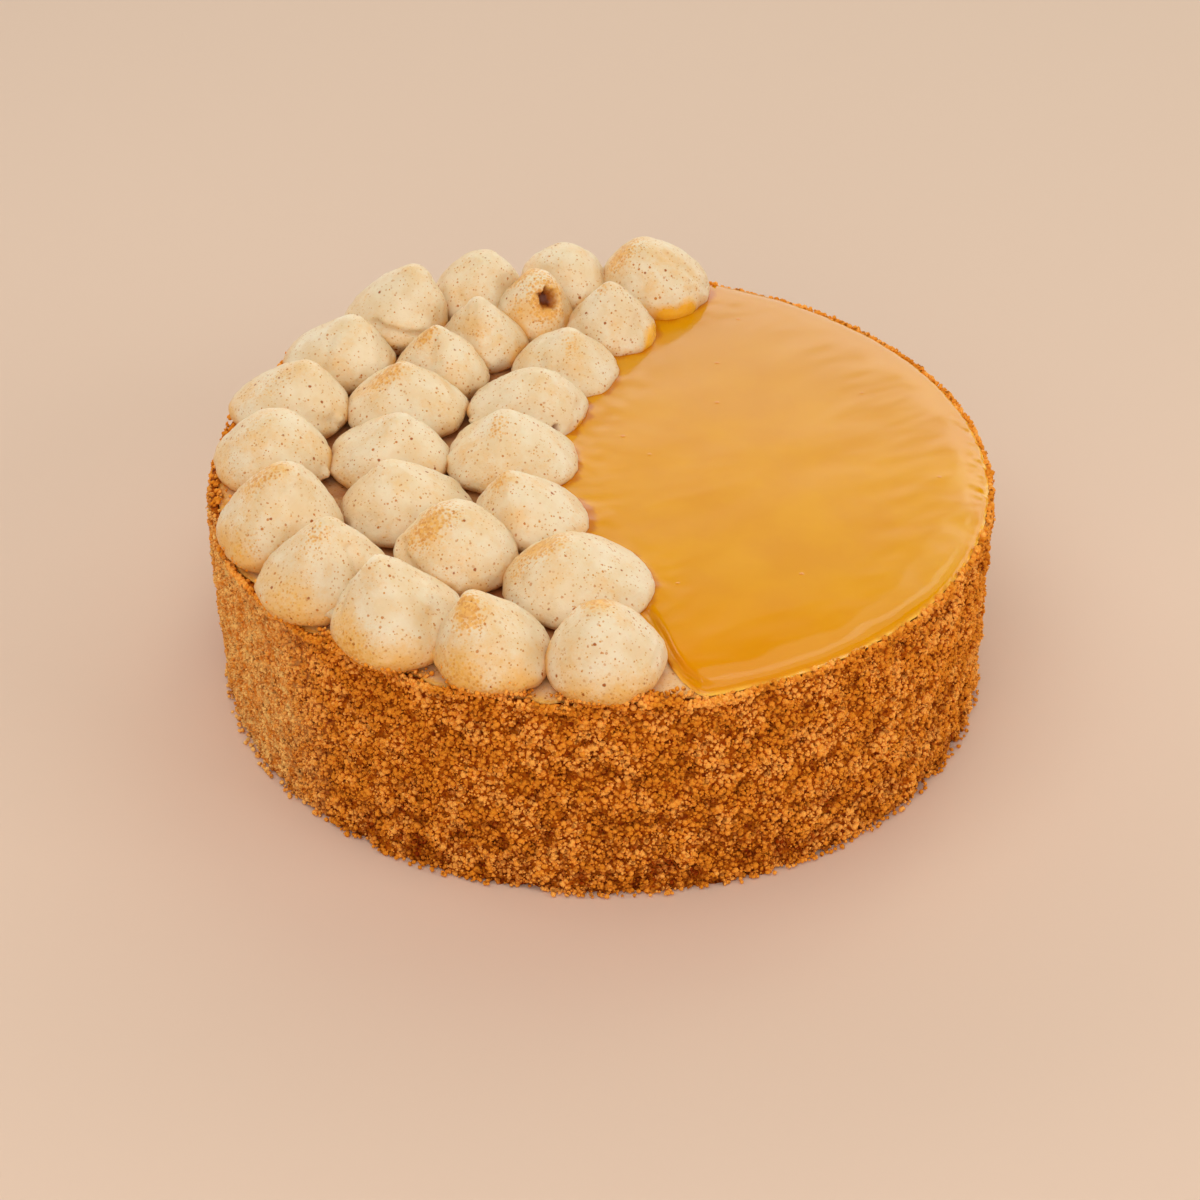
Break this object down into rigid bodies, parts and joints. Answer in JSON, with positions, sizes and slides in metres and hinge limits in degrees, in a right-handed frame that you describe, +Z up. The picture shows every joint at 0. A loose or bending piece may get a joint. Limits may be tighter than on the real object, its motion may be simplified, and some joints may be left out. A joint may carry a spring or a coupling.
{
  "type": "biscuit cake",
  "caption": "Round uncut biscuit cake with a biscuit crumb wall, an amber glaze on one side of its top and piped cream dollops in rows on the other.",
  "frame": {"origin": "centre of the cake at the level of its flat foot", "axes": "+Z up through the cake, -Y towards the picture's viewer, the dollops on the -X side and the glaze on the +X side"},
  "size_m": [0.201, 0.2034, 0.0821],
  "materials": {
    "biscuit_crumb": "rough biscuit crumb",
    "cream": "soft whipped cream with fine brown specks",
    "amber_glaze": "glossy poured glaze"
  },
  "bodies": {
    "root": {"crumb_cake": "biscuit_crumb", "cream_spread": "cream", "glaze": "amber_glaze", "dollop_01": "cream", "dollop_02": "cream", "dollop_03": "cream", "dollop_04": "cream", "dollop_05": "cream", "dollop_06": "cream", "dollop_07": "cream", "dollop_08": "cream", "dollop_09": "cream", "dollop_10": "cream", "dollop_11": "cream", "dollop_12": "cream", "dollop_13": "cream", "dollop_14": "cream", "dollop_15": "cream", "dollop_16": "cream", "dollop_17": "cream", "dollop_18": "cream", "dollop_19": "cream", "dollop_20": "cream", "dollop_21": "cream", "dollop_22": "cream", "dollop_23": "cream", "dollop_24": "cream", "dollop_25": "cream"}
  },
  "joints": []
}
